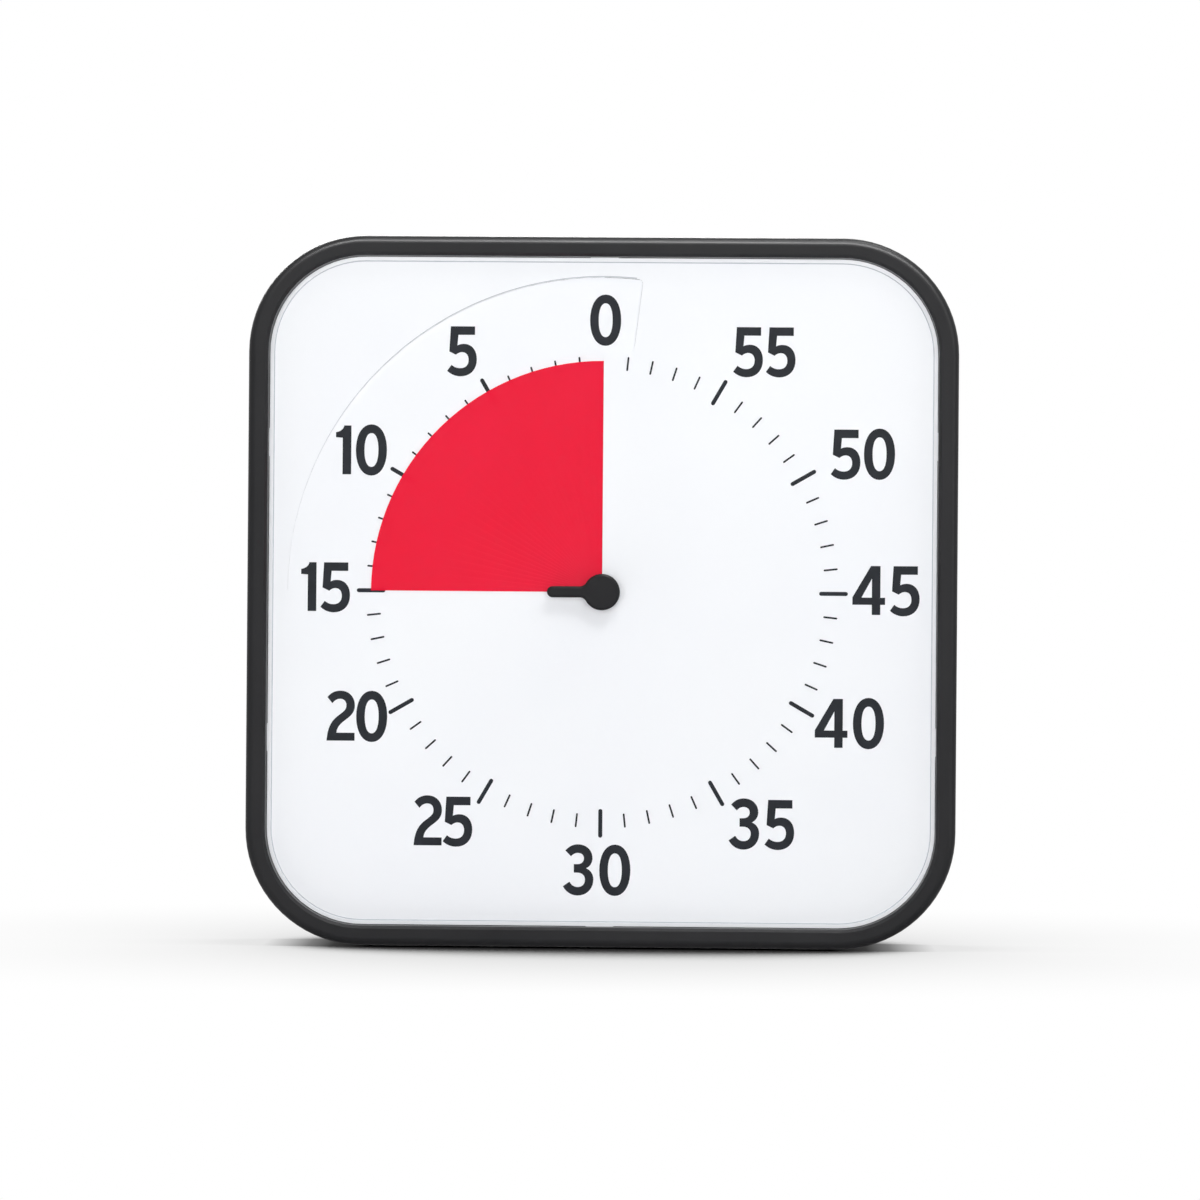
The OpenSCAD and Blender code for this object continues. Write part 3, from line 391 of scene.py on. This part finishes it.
# %% Outlines of the figures, in millimetres from the left end of the baseline
FIGURES = {
    1: [[(2.93, 0), (6.65, 0), (6.65, 21.05), (3.55, 21.05), (3.2, 19.4, 1.9, 18.4, 0, 18.15),
        (0, 15.95), (2.93, 15.75)]],
    2: [[(0, 0), (12.1, 0), (12.1, 3.42), (4.25, 3.42), (4.5, 6.5, 7.0, 8.1, 9.2, 9.8),
        (10.9, 11.2, 12.15, 12.7, 12.15, 15.2), (12.15, 19.0, 9.5, 21.55, 6.0, 21.55),
        (3.6, 21.55, 1.7, 20.6, 0.3, 18.75), (2.45, 16.1), (3.4, 17.4, 4.5, 18.05, 5.8, 18.05),
        (7.5, 18.05, 8.5, 16.9, 8.5, 15.3), (8.5, 13.4, 7.3, 12.6, 5.9, 11.5),
        (3.2, 9.5, 0.5, 7.4, 0, 0)]],
    3: [[(1.0, 18.9), (2.5, 20.7, 4.3, 21.6, 6.4, 21.6), (10.1, 21.6, 12.7, 19.1, 12.7, 15.7),
        (12.7, 13.7, 11.7, 12.1, 9.95, 11.3), (12.0, 10.5, 13.15, 8.7, 13.15, 6.5),
        (13.15, 2.5, 10.3, -0.45, 6.4, -0.45), (3.6, -0.45, 1.4, 1.0, 0, 3.5), (2.85, 5.5),
        (3.6, 4.1, 4.8, 3.2, 6.4, 3.2), (8.3, 3.2, 9.5, 4.5, 9.5, 6.4),
        (9.5, 8.3, 8.1, 9.4, 6.2, 9.4), (4.67, 9.4), (4.67, 13.05), (6.0, 13.05),
        (7.9, 13.05, 9.0, 14.0, 9.0, 15.6), (9.0, 17.0, 7.9, 17.9, 6.4, 17.9),
        (5.2, 17.9, 4.3, 17.4, 3.45, 16.4)]],
    4: [[(8.35, 0), (12.0, 0), (12.0, 4.35), (14.05, 4.35), (14.05, 7.43), (12.0, 7.43),
        (12.0, 21.05), (7.9, 21.05), (0, 7.55), (0, 4.35), (8.35, 4.35)],
        [(8.35, 15.6), (3.9, 7.43), (8.35, 7.43)]],
    5: [[(0.85, 10.2), (1.45, 21.05), (11.9, 21.05), (11.9, 17.4), (4.75, 17.4), (4.35, 12.85),
        (5.2, 13.3, 6.2, 13.5, 7.2, 13.5), (10.6, 13.5, 12.75, 10.8, 12.75, 6.9),
        (12.75, 2.4, 10.0, -0.5, 5.7, -0.5), (3.6, -0.5, 1.6, 0.3, 0, 1.85), (1.85, 4.45),
        (3.0, 3.4, 4.3, 3.0, 5.6, 3.0), (7.9, 3.0, 9.2, 4.4, 9.2, 6.7),
        (9.2, 8.7, 8.1, 9.95, 6.4, 9.95), (5.4, 9.95, 4.5, 9.5, 3.75, 8.8)]],
    0: [[(13.4, 10.55), (13.4, 16.9, 10.9, 21.6, 6.7, 21.6), (2.5, 21.6, 0, 16.9, 0, 10.55),
        (0, 4.2, 2.5, -0.5, 6.7, -0.5), (10.9, -0.5, 13.4, 4.2, 13.4, 10.55)],
        [(9.7, 10.55), (9.7, 6.2, 8.7, 3.25, 6.7, 3.25), (4.7, 3.25, 3.7, 6.2, 3.7, 10.55),
        (3.7, 14.9, 4.7, 17.85, 6.7, 17.85), (8.7, 17.85, 9.7, 14.9, 9.7, 10.55)]],
}
FIGURE_WIDTH = {0: 13.4, 1: 6.65, 2: 12.15, 3: 13.15, 4: 14.05, 5: 12.75}
SPACE_BEFORE = {0: 1.1, 5: 0.9}
SPACE_AFTER = {1: 0.9, 2: -0.5, 3: 1.4, 4: 1.2, 5: 0.4}
FIGURE_HEIGHT = 21.05


def outline_points(steps, pieces=9):
    """Corners and curves to one closed list of points."""
    points = []
    for step in steps:
        if len(step) == 2:
            points.append(Vector(step))
            continue
        start, a, b, end = points[-1], Vector(step[0:2]), Vector(step[2:4]), Vector(step[4:6])
        for k in range(1, pieces + 1):
            t = k / pieces
            points.append(start * (1 - t) ** 3 + a * 3 * t * (1 - t) ** 2
                + b * 3 * t * t * (1 - t) + end * t ** 3)
    if (points[0] - points[-1]).length < 1e-6:
        points.pop()
    return points


print("figures drawn:", sorted(FIGURES))

# %% [markdown]
# ## Printing on a dial that isn't flat
# Past the slit the dial falls away as a ramp, so that the disc can wind behind it, and the print
# follows. Each outline is first filled as a flat sheet and cut into small squares. Every corner
# is then dropped onto the dial by a ray from the front, and the sheet gets the thickness of the
# ink. Squares of 2.5 mm are small enough for the print to lie close on the ramp.

# %% Ink sheets that follow the dial
INK_PROUD = 0.045 * MM
INK_SUNK = 0.01 * MM
GRID_MM = 2.5


def surface_under(nodes):
    """One search tree over the meshes of some pieces."""
    corners, faces = [], []
    for name in nodes:
        mesh = frame["nodes"][name].data
        first = len(corners)
        corners += [v.co.copy() for v in mesh.vertices]
        faces += [[first + i for i in p.vertices] for p in mesh.polygons]
    return BVHTree.FromPolygons(corners, faces)


dial_surface = surface_under(["dial_plate", "recess_ramp"])


def filled_sheet(mesh, contours):
    """Adds a flat filled outline, in millimetres on the dial, to a bmesh."""
    points = [Vector((p.x, p.y, 0)) for contour in contours for p in contour]
    made = [mesh.verts.new(p) for p in points]
    for triangle in tessellate_polygon([[Vector((p.x, p.y, 0)) for p in c] for c in contours]):
        try:
            mesh.faces.new([made[i] for i in triangle])
        except ValueError:
            print("a triangle was made twice and is left out")


def cut_into_squares(mesh, size):
    low = [min(v.co[k] for v in mesh.verts) for k in (0, 1)]
    high = [max(v.co[k] for v in mesh.verts) for k in (0, 1)]
    for k, axis in ((0, Vector((1, 0, 0))), (1, Vector((0, 1, 0)))):
        for i in range(math.ceil(low[k] / size), math.floor(high[k] / size) + 1):
            at = axis * (i * size)
            parts = mesh.verts[:] + mesh.edges[:] + mesh.faces[:]
            bmesh.ops.bisect_plane(mesh, geom=parts, plane_co=at, plane_no=axis, dist=1e-5)


def finish_piece(name, mesh, material, body):
    """Turns a bmesh into a piece that rides on a body."""
    bmesh.ops.recalc_face_normals(mesh, faces=mesh.faces[:])
    data = bpy.data.meshes.new(name)
    mesh.to_mesh(data)
    mesh.free()
    data.materials.append(material)
    piece = bpy.data.objects.new(name, data)
    bpy.context.scene.collection.objects.link(piece)
    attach(piece, body)
    print(name, "has", len(data.polygons), "faces")


def lay_print(name, sheets, material):
    """Turns flat sheets into one thin piece that lies on the dial."""
    mesh = bmesh.new()
    for contours in sheets:
        filled_sheet(mesh, contours)
    cut_into_squares(mesh, GRID_MM)
    bmesh.ops.dissolve_degenerate(mesh, dist=1e-4, edges=mesh.edges[:])
    for face in mesh.faces:
        if face.normal.z < 0:
            face.normal_flip()
    top = mesh.faces[:]
    under = bmesh.ops.extrude_face_region(mesh, geom=top)["geom"]
    front = {item for item in under if isinstance(item, bmesh.types.BMVert)}
    for vert in mesh.verts:
        x, z = vert.co.x * MM, vert.co.y * MM + centre_z
        hit = dial_surface.ray_cast(Vector((x, front_y - 0.01, z)), Vector((0, 1, 0)))[0]
        y = hit.y if hit else dial_y
        vert.co = (x, y - INK_PROUD if vert in front else y + INK_SUNK, z)
    finish_piece(name, mesh, material, "housing")


# %% [markdown]
# The numbers don't sit on one exact circle: each is centred where it looks right beside its
# tick, so their places are a short list of centres in millimetres from the middle of the dial.

# %% Print the numbers
NUMBER_CENTRES = {
    0: (0.6, 117.2), 5: (-61.2, 103.6), 10: (-104.3, 60.5), 15: (-119.3, 1.4),
    20: (-105.3, -54.4), 25: (-67.8, -99.2), 30: (-1.4, -119.8), 35: (69.4, -99.4),
    40: (106.9, -55.7), 45: (122.2, 1.6), 50: (111.8, 60.2), 55: (69.1, 104.0),
}


def number_sheets(number, middle):
    figures = [int(c) for c in str(number)]
    gap = SPACE_AFTER[figures[0]] + SPACE_BEFORE[figures[1]] if len(figures) > 1 else 0
    width = sum(FIGURE_WIDTH[f] for f in figures) + gap
    left = middle[0] - width / 2
    made = []
    for figure in figures:
        corner = Vector((left, middle[1] - FIGURE_HEIGHT / 2))
        made.append([[p + corner for p in outline_points(c)] for c in FIGURES[figure]])
        left += FIGURE_WIDTH[figure] + gap
    return made


sheets = []
for number, middle in NUMBER_CENTRES.items():
    sheets += number_sheets(number, middle)
lay_print("dial_numbers", sheets, ink)

# %% [markdown]
# Sixty places, one for each minute, have a tick, but for the slit at 0. Every fifth is long and
# bold. A tick is a bar with round ends, drawn once and turned into its place.

# %% Print the ticks
# inner radius, outer radius and width in millimetres
TICK = {"long": (93.4, 105.8, 1.75), "short": (95.8, 101.9, 0.8)}
MINUTES = 60
END_PARTS = 6


def tick_outline(angle, inner, outer, width):
    """A bar with round ends that points at the dial's centre; angle counts from 12 o'clock."""
    half = width / 2
    steps = range(END_PARTS + 1)
    ends = [(outer - half, k * 180 / END_PARTS) for k in steps]
    ends += [(inner + half, 180 + k * 180 / END_PARTS) for k in steps]
    turn = Matrix.Rotation(math.radians(angle), 2)
    return [turn @ Vector((half * math.cos(math.radians(a)), r + half * math.sin(math.radians(a))))
        for r, a in ends]


ticks = []
for minute in range(1, MINUTES):
    kind = "long" if minute % 5 == 0 else "short"
    ticks.append([tick_outline(minute * 360 / MINUTES, *TICK[kind])])
lay_print("dial_ticks", ticks, ink)

# %% [markdown]
# Two fine grey lines on the dial are painted shade: one is the shadow at the foot of its raised
# edge, and one is the shadow of the step round the ramp, which closes up as the ramp rises to the
# level of the dial. Each is laid like the print, as a strip half a millimetre wide at most.

# %% Painted shade lines of the dial
# lengths in millimetres, and the span of the ramp's painted shade in degrees from 12 o'clock
WINDOW_HALF = 144.0
WINDOW_RADIUS = 41.5
EDGE_WIDTH = 1.78
STEP_SHADE_WIDTH = 0.42
RAMP_RADIUS = 135.76
RAMP_SHADE_SPAN = (5.9, -80)
# grey ink that paints the shade of the dial's steps
painted_step_shade = printed_ink("dial_painted_step_shade", ("#b9bdc4", "#c0c4ca"))


def rounded_square(half, radius, steps=18):
    points = []
    for corner, (sx, sz) in enumerate(((1, 1), (-1, 1), (-1, -1), (1, -1))):
        for k in range(steps + 1):
            angle = math.radians(90 * corner + 90 * k / steps)
            points.append(Vector((sx * (half - radius) + radius * math.cos(angle),
                sz * (half - radius) + radius * math.sin(angle))))
    return points


def ramp_seam(start, end, width, steps=60):
    """A tapering strip of painted shade outside the ramp, from start to end in degrees from 12
    o'clock.
    """
    outer, inner = [], []
    for k in range(steps + 1):
        angle = math.radians(start + (end - start) * k / steps)
        point = Vector((math.sin(angle), math.cos(angle)))
        inner.append(point * RAMP_RADIUS)
        outer.append(point * (RAMP_RADIUS + width * (1.04 - k / steps)))
    return inner + outer[::-1]


inset = [EDGE_WIDTH, EDGE_WIDTH + STEP_SHADE_WIDTH]
edge = [rounded_square(WINDOW_HALF - d, WINDOW_RADIUS - d) for d in inset]
# painted shadow at the foot of the dial's raised edge
lay_print("dial_edge_step_shade", [edge], painted_step_shade)
# painted shadow of the step round the ramp
lay_print("ramp_seam", [[ramp_seam(*RAMP_SHADE_SPAN, STEP_SHADE_WIDTH)]], painted_step_shade)

# %% [markdown]
# ## Moulded details on the battery door
# The finger dimple has three grip ribs that follow its hollow and stay below the rear face. Inside,
# the door shows how the cell goes in, with a raised outline, a plus and a minus. All of it turns
# with the door.

# %% Ribs and polarity marks
door_low, door_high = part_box("battery_door")
DIMPLE_RADIUS = 7.5 * MM
DIMPLE_LIFT = 6 * MM
DIMPLE_CENTRE = Vector((0, door_high.y + DIMPLE_LIFT, door_high.z + 2 * MM))
DOOR_THICKNESS = 2 * MM
RIB_WIDTH = 0.4 * MM
RIB_HEIGHT = 0.22 * MM
RIB_SUNK = 0.05 * MM


def add_bar(mesh, low, high):
    """A box between two corners."""
    made = bmesh.ops.create_cube(mesh, size=1)["verts"]
    for vert in made:
        vert.co = [(a + b) / 2 + (b - a) * c for a, b, c in zip(low, high, vert.co)]


def add_rib(mesh, z, width, height, points=12):
    """A rib across the dimple at height z, no higher than the door's rear face."""
    ring = math.sqrt(DIMPLE_RADIUS ** 2 - (z - DIMPLE_CENTRE.z) ** 2)
    reach = math.sqrt(ring ** 2 - (DIMPLE_LIFT + height) ** 2)
    rows = []
    for i in range(points + 1):
        x = reach * (2 * i / points - 1)
        y = DIMPLE_CENTRE.y - math.sqrt(ring ** 2 - x * x)
        foot, crest = y - RIB_SUNK, y + height
        spots = ((foot, -1), (crest, -0.4), (crest, 0.4), (foot, 1))
        rows.append([mesh.verts.new((x, at, z + side * width / 2)) for at, side in spots])
    for near, far in zip(rows, rows[1:]):
        for k in range(4):
            mesh.faces.new((near[k], near[(k + 1) % 4], far[(k + 1) % 4], far[k]))
    mesh.faces.new(rows[0][::-1])
    mesh.faces.new(rows[-1])


ribs = bmesh.new()
for k in range(3):
    add_rib(ribs, door_high.z - (0.6 + 0.75 * k) * MM, RIB_WIDTH, RIB_HEIGHT)
finish_piece("door_grip_ribs", ribs, finishes["housing_black"], "door")

marks = bmesh.new()
inside = door_high.y - DOOR_THICKNESS
near, deep = inside - 0.3 * MM, inside + 0.02 * MM
middle_z = (door_low.z + door_high.z) / 2 + 1 * MM


def raised(x0, x1, z0, z1):
    """A raised bar inside the door, in millimetres from the middle of the marks."""
    add_bar(marks, (x0 * MM, near, middle_z + z0 * MM), (x1 * MM, deep, middle_z + z1 * MM))


for side in (-1, 1):
    raised(-16, 16, side * 5 - 0.4, side * 5 + 0.4)
    raised(side * 16 - 0.4, side * 16 + 0.4, -5.4, 5.4)
raised(16.4, 18, -2, 2)
raised(20, 25, -0.5, 0.5)
raised(22, 23, -2.5, -0.5)
raised(22, 23, 0.5, 2.5)
raised(-25, -20, -0.5, 0.5)
finish_piece("door_polarity_marks", marks, finishes["housing_black"], "door")

# %% [markdown]
# ## Camera
# The timer is looked at straight on from 2 m, level with it. The lens is worked out from the
# width that the frame takes in. The camera stands a little to the right and is a hair out of
# level, as a hand-held product shot is.

# %% Camera
DISTANCE = 2.0
IMAGE_PIXELS = 1200
PIXEL = 0.4287 * MM
YAW = math.radians(1.2)
ROLL = math.radians(0.45)
OBJECT_RIGHT = 1.55 * PIXEL
OBJECT_UP = 7.95 * PIXEL

camera_data = bpy.data.cameras.new("camera")
camera_data.lens = camera_data.sensor_width * DISTANCE / (IMAGE_PIXELS * PIXEL)
camera_data.clip_start = 0.1
camera = bpy.data.objects.new("camera", camera_data)
bpy.context.scene.collection.objects.link(camera)
bpy.context.scene.camera = camera
toward = Vector((math.sin(YAW), -math.cos(YAW), 0))
right = Vector((math.cos(YAW), math.sin(YAW), 0))
target = Vector((0, front_y, centre_z)) - right * OBJECT_RIGHT - Vector((0, 0, OBJECT_UP))
level = Matrix.Rotation(YAW, 4, "Z") @ Matrix.Rotation(math.pi / 2, 4, "X")
turn = level @ Matrix.Rotation(ROLL, 4, "Z")
camera.matrix_world = Matrix.Translation(target + toward * DISTANCE) @ turn
print("lens", round(camera_data.lens, 1), "mm")

# %% [markdown]
# ## Light and ground
# A white background must not come from more light on the object, or its whites would burn out.
# So the world gives the object only a weak even light, and is white for what the camera, a gloss
# or a clear piece sees of it.

# %% World
world = bpy.data.worlds.new("studio")
bpy.context.scene.world = world
world.use_nodes = True
sky = world.node_tree
sky.nodes.clear()
ray = add_node(sky, "LightPath")
straight = add_node(sky, "Math", {"operation": "MAXIMUM"}, {}, {0: ray.outputs["Is Camera Ray"],
    1: ray.outputs["Is Transmission Ray"]})
seen = add_node(sky, "Math", {"operation": "MAXIMUM"}, {}, {0: straight.outputs[0],
    1: ray.outputs["Is Glossy Ray"]})
AMBIENT = 0.15  # strength of the light that the world gives the object
light_fill = add_node(sky, "Background", values={"Color": linear("#ffffff"), "Strength": AMBIENT})
white_seen = add_node(sky, "Background", values={"Color": linear("#ffffff"), "Strength": 1.0})
either = add_node(sky, "MixShader", links={0: seen.outputs[0], 1: light_fill.outputs[0],
    2: white_seen.outputs[0]})
add_node(sky, "OutputWorld", links={"Surface": either.outputs[0]})
print("light from all round:", AMBIENT)

# %% [markdown]
# The floor glows white for the camera, and the shadow is a place where the glow fades. How open
# the floor is to the sky decides that: near the object less of the sky is seen, and a curve
# turns the open share into the glow. Close under the lower edge the curve alone would go black
# right out to the corners, where the case is rounded off and light gets in. So a second curve,
# by the distance from the middle, lifts the glow there, and only in the strip under the object.

# %% Floor
OPEN_SKY_REACH = 0.25
OPEN_SKY_CURVE = ((0.50, 0.0), (0.56, 0.04), (0.62, 0.5), (0.68, 0.78), (1.0, 1.0))
CORNER_SPAN = (0.1, 0.16)
CORNER_CURVE = ((0.0, 0.0), (0.25, 0.045), (0.42, 0.2), (0.58, 0.5), (0.75, 0.78), (1.0, 0.8))
UNDER_SPAN = (0.045, 0.024)


def grey_steps(tree, source, stops):
    """A curve through (position, value) stops, as a ramp of greys."""
    ramp = add_node(tree, "ValToRGB", links={"Fac": source})
    for _ in stops[2:]:
        ramp.color_ramp.elements.new(0.9)
    for element, (position, value) in zip(ramp.color_ramp.elements, stops):
        element.position = position
        element.color = (value, value, value, 1)
    return ramp.outputs["Color"]


def distance_from_middle(tree, source, start, end):
    """0 to 1 as the distance from the middle goes from start to end."""
    size = add_node(tree, "Math", {"operation": "ABSOLUTE"}, {}, {0: source})
    spread = add_node(tree, "MapRange", values={"From Min": start, "From Max": end},
        links={"Value": size.outputs[0]})
    return spread.outputs["Result"]


def floor_material():
    """Pale and lit, with a white glow for the camera that fades where the object shades it."""
    material, tree, shader = new_material("studio_floor", "#f2f2f2", 0.9)
    path = add_node(tree, "LightPath")
    open_sky = add_node(tree, "AmbientOcclusion", {"samples": 48}, {"Distance": OPEN_SKY_REACH})
    shade = grey_steps(tree, open_sky.outputs["AO"], OPEN_SKY_CURVE)
    where = add_node(tree, "SeparateXYZ", links={"Vector": place_of(tree)})
    aside = distance_from_middle(tree, where.outputs["X"], *CORNER_SPAN)
    beside = grey_steps(tree, aside, CORNER_CURVE)
    below = distance_from_middle(tree, where.outputs["Y"], *UNDER_SPAN)
    under = add_node(tree, "Math", {"operation": "MULTIPLY"}, {}, {0: beside, 1: below})
    lighter = add_node(tree, "Math", {"operation": "MAXIMUM"}, {}, {0: shade, 1: under.outputs[0]})
    glow = add_node(tree, "Emission", links={"Color": lighter.outputs[0]})
    shown = add_node(tree, "MixShader", links={0: path.outputs["Is Camera Ray"],
        1: shader.outputs["BSDF"], 2: glow.outputs[0]})
    tree.links.new(shown.outputs[0], tree.nodes["Material Output"].inputs["Surface"])
    return material


FLOOR_SIZE = 12.0
floor_data = bpy.data.meshes.new("floor")
half = FLOOR_SIZE / 2
corners = [(-half, -half, 0), (half, -half, 0), (half, half, 0), (-half, half, 0)]
floor_data.from_pydata(corners, [], [(0, 1, 2, 3)])
floor_data.materials.append(floor_material())
floor = bpy.data.objects.new("floor", floor_data)
bpy.context.scene.collection.objects.link(floor)
print("floor:", FLOOR_SIZE, "m square")


# %% [markdown]
# A key box above and in front, with a weak strip over the case, lays the soft shadow under the
# knob. A wide box at the level of the dial fills from the front, and is kept out of every gloss.
# A fourth box lights the back. Three strips do the opposite: they show only as a gleam, along the
# crest of the rim, on its top and down its side, and add no light to the whites.
#
# The rim is deep enough to shade the top of the dial from the two boxes above it. A studio would
# turn that shade down with cards. Here the rim is taken out of what casts a shadow in their light,
# which real light can't do, and it keeps its shadow in the light of all the others.

# %% Lamps
def soft_box(name, place, aim, size, power, kind="both"):
    """A rectangular lamp: kind "fill" shows in no gloss, and "gleam" shows in nothing else."""
    data = bpy.data.lights.new(name, "AREA")
    data.shape = "RECTANGLE"
    data.size, data.size_y = size
    data.energy = power
    lamp = bpy.data.objects.new(name, data)
    lamp.location = place
    lamp.rotation_euler = (Vector(aim) - Vector(place)).to_track_quat("-Z", "Y").to_euler()
    lamp.visible_glossy = kind != "fill"
    lamp.visible_diffuse = kind != "gleam"
    lamp.visible_camera = False
    bpy.context.scene.collection.objects.link(lamp)
    return lamp


key_top = soft_box("key_top", (0.62, -1.95, 2.05), (0, 0, 0.15), (1.5, 0.8), 16.5)
strip_top = soft_box("strip_top", (0.4, -0.5, 1.5), (0, 0, 0.2), (1.2, 0.14), 1.0)
soft_box("front", (0.0, -2.4, 0.1), (0, 0, 0.15), (1.5, 1.0), 46, kind="fill")
soft_box("back", (-0.7, 2.2, 1.5), (0, 0, 0.15), (1.8, 1.0), 60)
soft_box("strip_crest", (0.2, -1.62, 1.80), (0, 0, 0.3), (2.4, 0.3), 140, kind="gleam")
soft_box("strip_over", (0.3, -0.25, 1.6), (0, 0, 0.2), (1.3, 0.3), 15, kind="gleam")
soft_box("strip_side", (1.63, -1.48, 0.5), (0, 0, 0.2), (0.3, 1.4), 8, kind="gleam")

no_shade = bpy.data.collections.new("casts_no_shade_from_above")
no_shade.objects.link(frame["nodes"]["front_frame"])
no_shade.collection_objects[0].light_linking.link_state = "EXCLUDE"
for lamp in (key_top, strip_top):
    lamp.light_linking.blocker_collection = no_shade
bpy.context.scene.view_settings.view_transform = "Standard"
